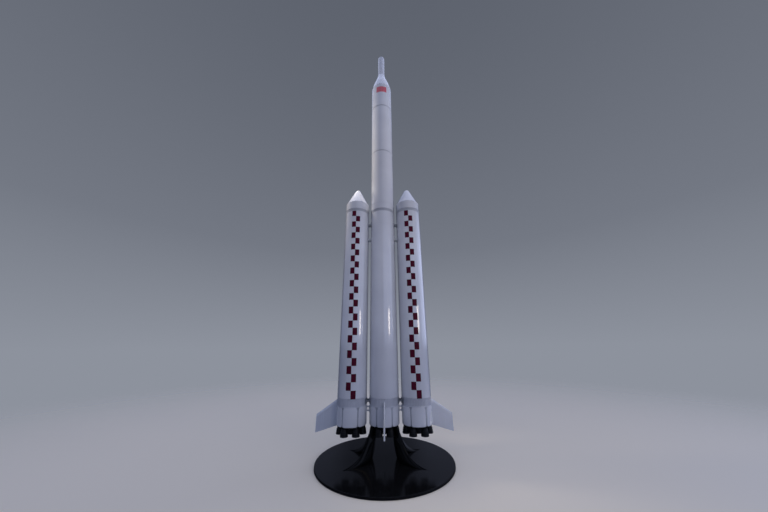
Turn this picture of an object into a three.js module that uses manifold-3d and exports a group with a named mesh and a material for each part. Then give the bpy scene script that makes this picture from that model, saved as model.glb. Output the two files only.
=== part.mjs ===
// Exhibition model of a three-body crewed space rocket, standing upright on a round black base.
// Millimetres, +Z up, origin on the floor at the middle of the base; -Y is the front.

import * as THREE from 'three';
import { ConvexGeometry } from 'three/addons/geometries/ConvexGeometry.js';
import { mergeVertices } from 'three/addons/utils/BufferGeometryUtils.js';
import Module from 'manifold-3d';

const wasm = await Module();
wasm.setup();

// Driving dimensions
const BODY_RADIUS = 250;
const BOOSTER_OFFSET = 548;
const SEAT_GAP = 0.3;
const BODY_SIDES = 64;

const BASE_RADIUS = 1092;
const BASE_HEIGHT = 32;
const BASE_EDGE = 6;
const BASE_SIDES = 80;

// Heights shared by all three bodies
const NOZZLE_EXIT_Z = 380;
const ENGINE_PLATE_Z = 503;
const SKIRT_BOTTOM_Z = 515;
const SKIRT_TOP_Z = 789;
const TAIL_RING_TOP_Z = 920;

// Tail skirt: six smooth panels with a groove between each two
const SKIRT_ROUND = 30;
const SKIRT_TUCK = 14;
const GROOVE_AZIMUTHS = [30, 90, 150, 210, 270, 330];
const GROOVE_DEPTH = 12;
const GROOVE_HALF_WIDTH = 11;
const GROOVE_MOUTH_HALF_WIDTH = 28;
const GROOVE_MOUTH_Z = 746;

// Engines: one in the middle, six around it
const ENGINE_PITCH_RADIUS = 187;
const ENGINE_PLATE_RADIUS = 236;
const NOZZLE_RADIUS = 65;
const NOZZLE_WALL = 5;
const NOZZLE_WAIST_RADIUS = 60;
const NOZZLE_WAIST_Z = 428;
const NOZZLE_THROAT_RADIUS = 46;
const NOZZLE_THROAT_Z = 478;
const NOZZLE_SIDES = 12;

// Fins: flat plates with a bevelled leading edge
const FIN_THICKNESS = 24;
const FIN_EDGE_THICKNESS = 5;
const FIN_BEVEL = 34;
const FIN_SPAN = 339;
const CORE_FIN_SPAN = 270;
const FIN_ROOT_BOTTOM_Z = 495;
const FIN_ROOT_TOP_Z = 883;
const FIN_TIP_BOTTOM_Z = 401;
const FIN_TIP_TOP_Z = 661;

// Boosters
const BOOSTER_TANK_TOP_Z = 4405;
const BOOSTER_SEAM_TOP_Z = 4470;
const NOSE_BASE_Z = 4640;
const NOSE_TIP_Z = 5045;
const NOSE_TIP_RADIUS = 70;
const RING_RADIUS = 247;

// Core stack
const CORE_STAGE_Z = { first: 4405, ring: 4470, second: 5985, middle: 6013, third: 7408, upper: 7436 };
const SHROUD_TOP_Z = 8190;
const COVER_SHOULDER = { radius: 200, z: 8410 };
const COVER_NECK = { radius: 120, z: 8650 };
const COVER_TOP = { radius: 88, z: 8790 };
const TOWER_RADIUS = 85;
const TOWER_TOP_Z = 9500;
const TOWER_TIP_RADIUS = 26;
const TOWER_TIP_Z = 9600;

// Links that hold a booster to the core: height, rod radius, size of the saddle pads, and how far apart
// the two rods are, side by side or one above the other
const LINKS = [
  { name: 'upper', z: 4170, rod: 12, padWidth: 116, padHeight: 52, across: 76, upright: 0 },
  { name: 'middle', z: 3820, rod: 9, padWidth: 116, padHeight: 40, across: 76, upright: 0 },
  { name: 'tail', z: 858, rod: 14, padWidth: 220, padHeight: 76, across: 128, upright: 0 },
  { name: 'lower', z: 737, rod: 10, padWidth: 60, padHeight: 88, across: 0, upright: 56 },
];
const LINK_PAD_DEPTH = 9;

// Pedestal legs: horns that sweep out from under the core to a point on the base
const LEG_AZIMUTH = 57;
const LEG_SIDES = 16;
const LEG_SECTIONS = [
  { z: BASE_HEIGHT, inner: 274, outer: 736, half: 35 },
  { z: 48, inner: 258, outer: 640, half: 39 },
  { z: 82, inner: 234, outer: 540, half: 42 },
  { z: 138, inner: 210, outer: 452, half: 41 },
  { z: 210, inner: 190, outer: 388, half: 38 },
  { z: 295, inner: 174, outer: 334, half: 33 },
  { z: 366, inner: 170, outer: 300, half: 23 },
  { z: 440, inner: 168, outer: 276, half: 21 },
  { z: ENGINE_PLATE_Z, inner: 168, outer: 258, half: 21 },
];

// Finishes
const FINISH = {
  white: { color: '#e6e8ee', roughness: 0.18, metalness: 0 },
  grey: { color: '#9aa2ae', roughness: 0.45, metalness: 0 },
  fin: { color: '#c3c9d4', roughness: 0.25, metalness: 0 },
  nozzle: { color: '#16171a', roughness: 0.4, metalness: 0.2 },
  black: { color: '#08090b', roughness: 0.08, metalness: 0 },
  link: { color: '#2b2e35', roughness: 0.4, metalness: 0.6 },
};

const rocket = new THREE.Group();

function addPiece(group, name, geometry, finish) {
  const mesh = new THREE.Mesh(geometry, new THREE.MeshStandardMaterial(FINISH[finish]));
  mesh.name = name;
  group.add(mesh);
  return mesh;
}

// Positions and faces only, shared corners merged and empty faces dropped, turned to face out
function closed(geometry) {
  const bare = geometry.clone();
  bare.deleteAttribute('normal');
  bare.deleteAttribute('uv');
  const merged = mergeVertices(bare, 1e-3);
  const position = merged.attributes.position;
  const corner = [0, 1, 2].map(() => new THREE.Vector3());
  const faces = [];
  let volume = 0;
  for (let i = 0; i < merged.index.count; i += 3) {
    const ids = [0, 1, 2].map((k) => merged.index.getX(i + k));
    if (new Set(ids).size < 3) continue;
    ids.forEach((id, k) => corner[k].fromBufferAttribute(position, id));
    volume += corner[0].dot(corner[1].cross(corner[2]));
    faces.push(ids);
  }
  const outward = volume > 0 ? faces : faces.map(([a, b, c]) => [a, c, b]);
  merged.setIndex(outward.flat());
  return merged;
}

function toManifold(geometry) {
  const shell = closed(geometry);
  return new wasm.Manifold(new wasm.Mesh({
    numProp: 3,
    vertProperties: new Float32Array(shell.attributes.position.array),
    triVerts: new Uint32Array(shell.index.array),
  }));
}

function fromManifold(body) {
  const mesh = body.getMesh();
  const geometry = new THREE.BufferGeometry();
  geometry.setAttribute('position', new THREE.BufferAttribute(new Float32Array(mesh.vertProperties), 3));
  geometry.setIndex(Array.from(mesh.triVerts));
  return geometry;
}

function join(geometries) {
  const bodies = geometries.map(toManifold);
  return fromManifold(bodies.slice(1).reduce((sum, body) => sum.add(body), bodies[0]));
}

function common(one, other) {
  return fromManifold(toManifold(one).intersect(toManifold(other)));
}

function cut(geometry, cutters) {
  return fromManifold(cutters.map(toManifold).reduce((rest, tool) => rest.subtract(tool), toManifold(geometry)));
}

// A profile of [radius, height] pairs turned about the Z axis
function turned(profile, sides = BODY_SIDES) {
  const points = profile.map(([radius, height]) => new THREE.Vector2(radius, height));
  return closed(new THREE.LatheGeometry(points, sides).rotateX(Math.PI / 2));
}

// A plain round section between two heights
function drum(radius, bottom, top, sides = BODY_SIDES) {
  return turned([[0, bottom], [radius, bottom], [radius, top], [0, top]], sides);
}

// A box given by its lowest and highest corners
function block(low, high) {
  const size = high.map((value, axis) => value - low[axis]);
  const middle = high.map((value, axis) => (value + low[axis]) / 2);
  return new THREE.BoxGeometry(...size).translate(...middle);
}

// Azimuths run from the front (-Y) towards +X
function turnFromFront(geometry, azimuth) {
  return geometry.rotateZ(THREE.MathUtils.degToRad(azimuth));
}

// Skin over rings of equal point counts, closed flat at both ends
function loft(rings) {
  const count = rings[0].length;
  const last = (rings.length - 1) * count;
  const faces = [];
  for (let ring = 0; ring < last; ring += count) {
    for (let j = 0; j < count; j++) {
      const next = (j + 1) % count;
      faces.push(ring + j, ring + next, ring + count + j);
      faces.push(ring + next, ring + count + next, ring + count + j);
    }
  }
  for (let j = 1; j < count - 1; j++) {
    faces.push(0, j + 1, j);
    faces.push(last, last + j, last + j + 1);
  }
  const geometry = new THREE.BufferGeometry().setFromPoints(rings.flat());
  geometry.setIndex(faces);
  return closed(geometry);
}

// Base disc with bevelled edges
function baseDisc() {
  return turned([
    [0, 0],
    [BASE_RADIUS - BASE_EDGE, 0],
    [BASE_RADIUS, BASE_EDGE],
    [BASE_RADIUS, BASE_HEIGHT - BASE_EDGE],
    [BASE_RADIUS - BASE_EDGE, BASE_HEIGHT],
    [0, BASE_HEIGHT],
  ], BASE_SIDES);
}

// One leg, pointing to the front before it is turned: long ellipses stacked from foot to top
function pedestalLeg(azimuth) {
  const rings = LEG_SECTIONS.map(({ z, inner, outer, half }) => {
    const middle = (inner + outer) / 2;
    const reach = (outer - inner) / 2;
    return Array.from({ length: LEG_SIDES }, (_, k) => {
      const angle = (2 * Math.PI * k) / LEG_SIDES;
      return new THREE.Vector3(half * Math.sin(angle), -middle - reach * Math.cos(angle), z);
    });
  });
  return turnFromFront(loft(rings), azimuth);
}

// One nozzle bell, open below, with its stub up into the engine plate
function nozzle(x, y) {
  const profile = [
    [0, NOZZLE_THROAT_Z],
    [NOZZLE_THROAT_RADIUS - NOZZLE_WALL, NOZZLE_THROAT_Z],
    [NOZZLE_WAIST_RADIUS - NOZZLE_WALL, NOZZLE_WAIST_Z],
    [NOZZLE_RADIUS - NOZZLE_WALL, NOZZLE_EXIT_Z],
    [NOZZLE_RADIUS, NOZZLE_EXIT_Z],
    [NOZZLE_WAIST_RADIUS, NOZZLE_WAIST_Z],
    [NOZZLE_THROAT_RADIUS, NOZZLE_THROAT_Z],
    [NOZZLE_THROAT_RADIUS, (ENGINE_PLATE_Z + SKIRT_BOTTOM_Z) / 2],
    [0, (ENGINE_PLATE_Z + SKIRT_BOTTOM_Z) / 2],
  ];
  return turned(profile, NOZZLE_SIDES).translate(x, y, 0);
}

// Engine plate with its seven nozzles
function engineCluster() {
  const plate = drum(ENGINE_PLATE_RADIUS, ENGINE_PLATE_Z, SKIRT_BOTTOM_Z);
  const outer = GROOVE_AZIMUTHS.map((azimuth) => {
    const angle = THREE.MathUtils.degToRad(azimuth);
    return nozzle(ENGINE_PITCH_RADIUS * Math.sin(angle), -ENGINE_PITCH_RADIUS * Math.cos(angle));
  });
  return join([plate, nozzle(0, 0), ...outer]);
}

// Cutter for one groove: a narrow slot that opens out at the top, where the panels' corners are cut
function grooveCutter(azimuth) {
  const outline = new THREE.Shape([
    new THREE.Vector2(-GROOVE_HALF_WIDTH, SKIRT_BOTTOM_Z - 10),
    new THREE.Vector2(GROOVE_HALF_WIDTH, SKIRT_BOTTOM_Z - 10),
    new THREE.Vector2(GROOVE_HALF_WIDTH, GROOVE_MOUTH_Z),
    new THREE.Vector2(GROOVE_MOUTH_HALF_WIDTH, SKIRT_TOP_Z + 5),
    new THREE.Vector2(-GROOVE_MOUTH_HALF_WIDTH, SKIRT_TOP_Z + 5),
    new THREE.Vector2(-GROOVE_HALF_WIDTH, GROOVE_MOUTH_Z),
  ]);
  const slab = new THREE.ExtrudeGeometry(outline, { depth: 4 * GROOVE_DEPTH, bevelEnabled: false });
  slab.rotateX(Math.PI / 2).translate(0, -BODY_RADIUS + GROOVE_DEPTH, 0);
  return turnFromFront(slab, azimuth);
}

// Skirt round the engines; a fin that sits on a groove's line covers it, so that groove is left out
function tailSkirt(finAzimuths) {
  const shell = turned([
    [0, SKIRT_BOTTOM_Z],
    [BODY_RADIUS - SKIRT_TUCK, SKIRT_BOTTOM_Z],
    [BODY_RADIUS - SKIRT_TUCK / 3, SKIRT_BOTTOM_Z + SKIRT_ROUND / 3],
    [BODY_RADIUS, SKIRT_BOTTOM_Z + SKIRT_ROUND],
    [BODY_RADIUS, SKIRT_TOP_Z],
    [0, SKIRT_TOP_Z],
  ]);
  const grooves = GROOVE_AZIMUTHS.filter((azimuth) => !finAzimuths.includes(azimuth));
  return cut(shell, grooves.map(grooveCutter));
}

// Swept plate, thin along its upper leading edge, its root against a body's side
function fin(azimuth, fullSpan) {
  const share = fullSpan / FIN_SPAN;
  const tipBottom = THREE.MathUtils.lerp(FIN_ROOT_BOTTOM_Z, FIN_TIP_BOTTOM_Z, share);
  const tipTop = THREE.MathUtils.lerp(FIN_ROOT_TOP_Z, FIN_TIP_TOP_Z, share);
  const root = -BODY_RADIUS - SEAT_GAP;
  const tip = root - fullSpan;
  const points = [-1, 1].flatMap((side) => {
    const face = (side * FIN_THICKNESS) / 2;
    const edge = (side * FIN_EDGE_THICKNESS) / 2;
    return [
      new THREE.Vector3(face, root, FIN_ROOT_BOTTOM_Z),
      new THREE.Vector3(face, tip, tipBottom),
      new THREE.Vector3(face, tip, tipTop - FIN_BEVEL),
      new THREE.Vector3(face, root, FIN_ROOT_TOP_Z - FIN_BEVEL),
      new THREE.Vector3(edge, tip, tipTop),
      new THREE.Vector3(edge, root, FIN_ROOT_TOP_Z),
    ];
  });
  return closed(turnFromFront(new ConvexGeometry(points), azimuth));
}

// Straight cone that runs into a ball-shaped tip
function noseCone() {
  const height = NOSE_TIP_Z - NOSE_BASE_Z;
  const ball = height - NOSE_TIP_RADIUS;
  const start = Math.acos(NOSE_TIP_RADIUS / Math.hypot(ball, BODY_RADIUS)) - Math.atan2(ball, BODY_RADIUS);
  const steps = 3;
  const tip = Array.from({ length: steps + 1 }, (_, k) => {
    const angle = THREE.MathUtils.lerp(start, Math.PI / 2, k / steps);
    return [NOSE_TIP_RADIUS * Math.cos(angle), NOSE_BASE_Z + ball + NOSE_TIP_RADIUS * Math.sin(angle)];
  });
  tip[steps][0] = 0;
  return turned([[0, NOSE_BASE_Z], [BODY_RADIUS, NOSE_BASE_Z], ...tip]);
}

// Two rods between saddle pads that follow both bodies' sides, for the right-hand booster
function link({ z, rod, padWidth, padHeight, across, upright }) {
  const low = z - padHeight / 2;
  const high = z + padHeight / 2;
  const window = block([0, -padWidth / 2, low], [BOOSTER_OFFSET, padWidth / 2, high]);
  const axes = [0, BOOSTER_OFFSET];
  const pads = axes.map((x) => common(drum(BODY_RADIUS + LINK_PAD_DEPTH, low, high).translate(x, 0, 0), window));
  const rods = [-1, 1].map((side) => {
    const bar = new THREE.CylinderGeometry(rod, rod, BODY_RADIUS, 16).rotateZ(Math.PI / 2);
    return bar.translate(BOOSTER_OFFSET / 2, (side * across) / 2, z + (side * upright) / 2);
  });
  const bodies = axes.map((x) => drum(BODY_RADIUS + SEAT_GAP, low - rod, high + rod).translate(x, 0, 0));
  return cut(join([...pads, ...rods]), bodies);
}

// Base and pedestal
addPiece(rocket, 'base_disc', baseDisc(), 'black');
const legAzimuths = {
  front_right: LEG_AZIMUTH,
  back_right: 180 - LEG_AZIMUTH,
  back_left: 180 + LEG_AZIMUTH,
  front_left: -LEG_AZIMUTH,
};
for (const [place, azimuth] of Object.entries(legAzimuths)) {
  addPiece(rocket, `pedestal_leg_${place}`, pedestalLeg(azimuth), 'black');
}

// Tail end that every body has
function addTail(group, prefix, fins) {
  addPiece(group, `${prefix}_engines`, engineCluster(), 'nozzle');
  addPiece(group, `${prefix}_tail_skirt`, tailSkirt(fins.map(({ azimuth }) => azimuth)), 'white');
  addPiece(group, `${prefix}_tail_ring`, drum(BODY_RADIUS, SKIRT_TOP_Z, TAIL_RING_TOP_Z), 'grey');
  for (const { name, azimuth, span } of fins) {
    addPiece(group, `${prefix}_${name}`, fin(azimuth, span), 'fin');
  }
}

// Core
const core = new THREE.Group();
rocket.add(core);
addTail(core, 'core', [
  { name: 'fin_front', azimuth: 0, span: CORE_FIN_SPAN },
  { name: 'fin_back', azimuth: 180, span: CORE_FIN_SPAN },
]);
const coreStack = [
  { name: 'core_first_stage', radius: BODY_RADIUS, top: CORE_STAGE_Z.first, finish: 'white' },
  { name: 'core_separation_ring', radius: RING_RADIUS, top: CORE_STAGE_Z.ring, finish: 'grey' },
  { name: 'core_second_stage', radius: BODY_RADIUS, top: CORE_STAGE_Z.second, finish: 'white' },
  { name: 'core_middle_ring', radius: RING_RADIUS, top: CORE_STAGE_Z.middle, finish: 'grey' },
  { name: 'core_third_stage', radius: BODY_RADIUS, top: CORE_STAGE_Z.third, finish: 'white' },
  { name: 'core_upper_ring', radius: RING_RADIUS, top: CORE_STAGE_Z.upper, finish: 'grey' },
  { name: 'core_spacecraft_shroud', radius: BODY_RADIUS, top: SHROUD_TOP_Z, finish: 'white' },
];
let stackZ = TAIL_RING_TOP_Z;
for (const { name, radius, top, finish } of coreStack) {
  addPiece(core, name, drum(radius, stackZ, top), finish);
  stackZ = top;
}
addPiece(core, 'escape_cover', turned([
  [0, SHROUD_TOP_Z],
  [BODY_RADIUS, SHROUD_TOP_Z],
  [COVER_SHOULDER.radius, COVER_SHOULDER.z],
  [COVER_NECK.radius, COVER_NECK.z],
  [COVER_TOP.radius, COVER_TOP.z],
  [0, COVER_TOP.z],
]), 'white');
addPiece(core, 'escape_tower', drum(TOWER_RADIUS, COVER_TOP.z, TOWER_TOP_Z, 48), 'white');
addPiece(core, 'escape_tower_cap', turned([
  [0, TOWER_TOP_Z],
  [TOWER_RADIUS, TOWER_TOP_Z],
  [TOWER_TIP_RADIUS, TOWER_TIP_Z],
  [0, TOWER_TIP_Z],
], 48), 'white');

// Boosters and the links that carry them
for (const [side, sign] of [['left', -1], ['right', 1]]) {
  const prefix = `booster_${side}`;
  const booster = new THREE.Group();
  booster.position.x = sign * BOOSTER_OFFSET;
  rocket.add(booster);
  addTail(booster, prefix, [{ name: 'fin', azimuth: sign > 0 ? 90 : 270, span: FIN_SPAN }]);
  addPiece(booster, `${prefix}_tank`, drum(BODY_RADIUS, TAIL_RING_TOP_Z, BOOSTER_TANK_TOP_Z), 'white');
  addPiece(booster, `${prefix}_seam_ring`, drum(RING_RADIUS, BOOSTER_TANK_TOP_Z, BOOSTER_SEAM_TOP_Z), 'grey');
  addPiece(booster, `${prefix}_shoulder`, drum(BODY_RADIUS, BOOSTER_SEAM_TOP_Z, NOSE_BASE_Z), 'white');
  addPiece(booster, `${prefix}_nose_cone`, noseCone(), 'white');
  for (const row of LINKS) {
    const turn = sign > 0 ? 0 : Math.PI;
    addPiece(rocket, `link_${side}_${row.name}`, link(row).rotateZ(turn), 'link');
  }
}

export default rocket;
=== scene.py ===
import math

import bmesh
import bpy
from mathutils import Matrix, Vector


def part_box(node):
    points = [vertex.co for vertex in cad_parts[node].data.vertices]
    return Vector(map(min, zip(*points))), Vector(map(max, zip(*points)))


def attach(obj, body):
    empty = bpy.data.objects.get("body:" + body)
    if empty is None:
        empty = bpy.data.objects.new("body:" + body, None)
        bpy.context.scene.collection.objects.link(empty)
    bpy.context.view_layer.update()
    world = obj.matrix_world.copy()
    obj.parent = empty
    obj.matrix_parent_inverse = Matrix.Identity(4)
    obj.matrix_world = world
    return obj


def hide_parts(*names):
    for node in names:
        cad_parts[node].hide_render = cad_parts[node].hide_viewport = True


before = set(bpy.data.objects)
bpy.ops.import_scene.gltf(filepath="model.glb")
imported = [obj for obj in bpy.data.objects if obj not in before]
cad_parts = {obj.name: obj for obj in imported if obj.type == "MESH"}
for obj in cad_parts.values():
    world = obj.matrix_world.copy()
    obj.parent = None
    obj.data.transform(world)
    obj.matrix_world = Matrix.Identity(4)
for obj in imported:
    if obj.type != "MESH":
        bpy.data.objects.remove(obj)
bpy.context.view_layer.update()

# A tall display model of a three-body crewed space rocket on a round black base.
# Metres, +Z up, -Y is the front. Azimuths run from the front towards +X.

MM = 0.001

# Camera: held at eye height in front of the model and tilted up
EYE = Vector((0.022, -4.85, 1.71))
TILT_UP = math.radians(19.97)
LEAN = math.radians(-0.60)
LENS_MM = 11.72
SENSOR_MM = 36.0


def set_camera():
    lens = bpy.data.cameras.new("eye_height_camera")
    lens.lens = LENS_MM
    lens.sensor_width = SENSOR_MM
    lens.sensor_fit = "HORIZONTAL"
    camera = bpy.data.objects.new("eye_height_camera", lens)
    aim = Matrix.Rotation(math.radians(90) + TILT_UP, 4, "X") @ Matrix.Rotation(LEAN, 4, "Z")
    camera.matrix_world = Matrix.Translation(EYE) @ aim
    bpy.context.scene.collection.objects.link(camera)
    bpy.context.scene.camera = camera


set_camera()


# Places read from the frame
def heights(node):
    low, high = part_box(node)
    return low.z, high.z


def centre_x(node):
    low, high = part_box(node)
    return (low.x + high.x) / 2


def radius_of(node):
    low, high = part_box(node)
    return (high.x - low.x) / 2


PREFIXES = ("core", "booster_left", "booster_right")
BODY_X = {prefix: centre_x(f"{prefix}_tail_ring") for prefix in PREFIXES}
X_SIGNS = {"left": -1, "right": 1}
BODY_RADIUS = radius_of("core_first_stage")
SKIRT_BOTTOM, SKIRT_TOP = heights("core_tail_skirt")
PANEL_AZIMUTHS = (0, 60, 120, 180, 240, 300)
GROOVE_AZIMUTHS = tuple(azimuth + 30 for azimuth in PANEL_AZIMUTHS)
SKIN_GAP = 0.3 * MM
SIDES = 160


# Colour and node helpers
def linear(hex_colour):
    """An sRGB hex colour as linear red, green and blue, with alpha 1"""
    parts = [int(hex_colour[i:i + 2], 16) / 255 for i in (1, 3, 5)]
    return tuple(c / 12.92 if c <= 0.04045 else ((c + 0.055) / 1.055) ** 2.4 for c in parts) + (1.0,)


def add(tree, kind, settings=None, sockets=None):
    """Adds one node with its settings; a socket takes a plain value or another node's output"""
    made = tree.nodes.new(kind)
    for name, value in (settings or {}).items():
        setattr(made, name, value)
    for name, value in (sockets or {}).items():
        if isinstance(value, bpy.types.NodeSocket):
            tree.links.new(value, made.inputs[name])
        else:
            made.inputs[name].default_value = value
    return made


def blend_colours(ramp, *stops):
    """Sets a colour ramp's stops from (place, hex colour) pairs"""
    elements = ramp.color_ramp.elements
    while len(elements) < len(stops):
        elements.new(0.5)
    for element, (place, colour) in zip(elements, stops):
        element.position = place
        element.color = linear(colour)


def new_material(name):
    material = bpy.data.materials.new(name)
    material.use_nodes = True
    return material, material.node_tree, material.node_tree.nodes["Principled BSDF"]


# Finishes, and how far each fine pattern stands up from its surface
SKIN_RIPPLE = 0.7 * MM
ORANGE_PEEL = 0.012 * MM
SPRAY_GRAIN = 0.08 * MM
BUFFING_SWIRL = 0.004 * MM
SPINNING_RING = 0.05 * MM
DUST_COLOUR = "#3a3c40"


def sprayed_enamel(name, pale, deep, roughness, coat):
    """Two-pack enamel sprayed on a glass-fibre skin: an even colour that drifts slightly, faint streaks
    from wiping, and highlights that bend where the laid-up skin under the paint is not quite true."""
    material, tree, shader = new_material(name)
    place = add(tree, "ShaderNodeTexCoord").outputs["Object"]
    drift = add(tree, "ShaderNodeTexNoise", sockets={"Vector": place, "Scale": 1.6, "Detail": 3.0})
    tone = add(tree, "ShaderNodeValToRGB", sockets={"Fac": drift.outputs["Fac"]})
    blend_colours(tone, (0.32, deep), (0.68, pale))
    # The wiping streaks are about 40 mm wide and 1.4 m long
    tall = add(tree, "ShaderNodeMapping", sockets={"Vector": place, "Scale": (26.0, 26.0, 0.7)})
    wiped = add(tree, "ShaderNodeTexNoise", sockets={
        "Vector": tall.outputs["Vector"], "Scale": 1.0, "Detail": 4.0})
    haze = add(tree, "ShaderNodeMapRange", sockets={
        "Value": wiped.outputs["Fac"], "From Min": 0.35, "From Max": 0.7,
        "To Min": roughness * 0.8, "To Max": roughness * 1.3})
    # The skin's ripple is about 350 mm from crest to crest, and orange peel is drawn at 12 mm, not 3
    skin = add(tree, "ShaderNodeTexNoise", sockets={"Vector": place, "Scale": 2.9, "Detail": 1.0})
    peel = add(tree, "ShaderNodeTexNoise", sockets={"Vector": place, "Scale": 85.0, "Detail": 2.0})
    rippled = add(tree, "ShaderNodeBump", sockets={
        "Height": skin.outputs["Fac"], "Distance": SKIN_RIPPLE, "Strength": 1.0})
    pebbled = add(tree, "ShaderNodeBump", sockets={
        "Height": peel.outputs["Fac"], "Distance": ORANGE_PEEL, "Strength": 1.0,
        "Normal": rippled.outputs["Normal"]})
    tree.links.new(tone.outputs["Color"], shader.inputs["Base Color"])
    tree.links.new(haze.outputs["Result"], shader.inputs["Roughness"])
    tree.links.new(pebbled.outputs["Normal"], shader.inputs["Normal"])
    shader.inputs["IOR"].default_value = 1.5
    shader.inputs["Coat Weight"].default_value = coat
    shader.inputs["Coat Roughness"].default_value = 0.04
    return material


def satin_enamel(name, pale, deep, roughness, ior=1.5):
    """Satin enamel off the gun: dry, fine-grained and free of reflections, and slightly mottled."""
    material, tree, shader = new_material(name)
    place = add(tree, "ShaderNodeTexCoord").outputs["Object"]
    mottle = add(tree, "ShaderNodeTexNoise", sockets={"Vector": place, "Scale": 7.0, "Detail": 5.0})
    tone = add(tree, "ShaderNodeValToRGB", sockets={"Fac": mottle.outputs["Fac"]})
    blend_colours(tone, (0.35, deep), (0.65, pale))
    # The spray's grain is about 1 mm; it is drawn at 4 mm so that it shows
    grain = add(tree, "ShaderNodeTexNoise", sockets={"Vector": place, "Scale": 250.0, "Detail": 2.0})
    dryness = add(tree, "ShaderNodeMapRange", sockets={
        "Value": grain.outputs["Fac"], "To Min": roughness - 0.08, "To Max": roughness + 0.08})
    pitted = add(tree, "ShaderNodeBump", sockets={
        "Height": grain.outputs["Fac"], "Distance": SPRAY_GRAIN, "Strength": 1.0})
    tree.links.new(tone.outputs["Color"], shader.inputs["Base Color"])
    tree.links.new(dryness.outputs["Result"], shader.inputs["Roughness"])
    tree.links.new(pitted.outputs["Normal"], shader.inputs["Normal"])
    shader.inputs["IOR"].default_value = ior
    return material


def polished_black_lacquer(name, black, ior):
    """Piano-black lacquer, flatted and buffed: a black mirror, with fine swirls, a few dull patches from
    hands and cloths, and specks of dust that lie on it."""
    material, tree, shader = new_material(name)
    place = add(tree, "ShaderNodeTexCoord").outputs["Object"]
    patches = add(tree, "ShaderNodeTexNoise", sockets={
        "Vector": place, "Scale": 3.5, "Detail": 5.0, "Distortion": 0.6})
    dullness = add(tree, "ShaderNodeMapRange", sockets={
        "Value": patches.outputs["Fac"], "From Min": 0.4, "From Max": 0.75,
        "To Min": 0.11, "To Max": 0.22})
    # One speck of dust in each 14 mm cell at most, about 2 mm across
    cells = add(tree, "ShaderNodeTexVoronoi", sockets={"Vector": place, "Scale": 70.0})
    speck = add(tree, "ShaderNodeMapRange", sockets={
        "Value": cells.outputs["Distance"], "From Min": 0.05, "From Max": 0.09,
        "To Min": 1.0, "To Max": 0.0})
    tone = add(tree, "ShaderNodeValToRGB", sockets={"Fac": speck.outputs["Result"]})
    blend_colours(tone, (0.0, black), (1.0, DUST_COLOUR))
    # The buffing swirls lie well under 1 mm apart, and are drawn at 6 mm so that they show
    swirl = add(tree, "ShaderNodeTexWave", {"wave_type": "RINGS", "rings_direction": "Z"}, {
        "Vector": place, "Scale": 55.0, "Distortion": 9.0, "Detail": 2.0, "Detail Scale": 1.5})
    hairline = add(tree, "ShaderNodeBump", sockets={
        "Height": swirl.outputs["Fac"], "Distance": BUFFING_SWIRL, "Strength": 1.0})
    tree.links.new(tone.outputs["Color"], shader.inputs["Base Color"])
    tree.links.new(dullness.outputs["Result"], shader.inputs["Roughness"])
    tree.links.new(hairline.outputs["Normal"], shader.inputs["Normal"])
    shader.inputs["IOR"].default_value = ior
    return material


def stoved_black(name, pale, deep, roughness):
    """Stoved satin black on spun aluminium: nearly black, greyer where the light rakes it, with the
    spinning's faint rings under the paint."""
    material, tree, shader = new_material(name)
    place = add(tree, "ShaderNodeTexCoord").outputs["Object"]
    soot = add(tree, "ShaderNodeTexNoise", sockets={"Vector": place, "Scale": 11.0, "Detail": 4.0})
    tone = add(tree, "ShaderNodeValToRGB", sockets={"Fac": soot.outputs["Fac"]})
    blend_colours(tone, (0.3, deep), (0.7, pale))
    # The spinning leaves a ring round the bell every 3 mm or so
    rings = add(tree, "ShaderNodeTexWave", {"bands_direction": "Z"}, {
        "Vector": place, "Scale": 100.0, "Distortion": 0.4, "Detail": 1.0})
    marks = add(tree, "ShaderNodeBump", sockets={
        "Height": rings.outputs["Fac"], "Distance": SPINNING_RING, "Strength": 1.0})
    uneven = add(tree, "ShaderNodeMapRange", sockets={
        "Value": soot.outputs["Fac"], "To Min": roughness - 0.1, "To Max": roughness + 0.1})
    tree.links.new(tone.outputs["Color"], shader.inputs["Base Color"])
    tree.links.new(uneven.outputs["Result"], shader.inputs["Roughness"])
    tree.links.new(marks.outputs["Normal"], shader.inputs["Normal"])
    shader.inputs["IOR"].default_value = 1.3
    return material


def plated_steel(name, pale, deep, roughness):
    """Plated mild steel: metallic and slightly cloudy, with fine drawing marks along the bar."""
    material, tree, shader = new_material(name)
    place = add(tree, "ShaderNodeTexCoord").outputs["Object"]
    cloud = add(tree, "ShaderNodeTexNoise", sockets={"Vector": place, "Scale": 40.0, "Detail": 4.0})
    tone = add(tree, "ShaderNodeValToRGB", sockets={"Fac": cloud.outputs["Fac"]})
    blend_colours(tone, (0.3, deep), (0.7, pale))
    # The drawing marks are about 1 mm wide and 30 mm long
    along = add(tree, "ShaderNodeMapping", sockets={"Vector": place, "Scale": (30.0, 900.0, 900.0)})
    drawn = add(tree, "ShaderNodeTexNoise", sockets={
        "Vector": along.outputs["Vector"], "Scale": 1.0, "Detail": 2.0})
    sheen = add(tree, "ShaderNodeMapRange", sockets={
        "Value": drawn.outputs["Fac"], "To Min": roughness - 0.08, "To Max": roughness + 0.12})
    tree.links.new(tone.outputs["Color"], shader.inputs["Base Color"])
    tree.links.new(sheen.outputs["Result"], shader.inputs["Roughness"])
    shader.inputs["Metallic"].default_value = 1.0
    return material


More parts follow.
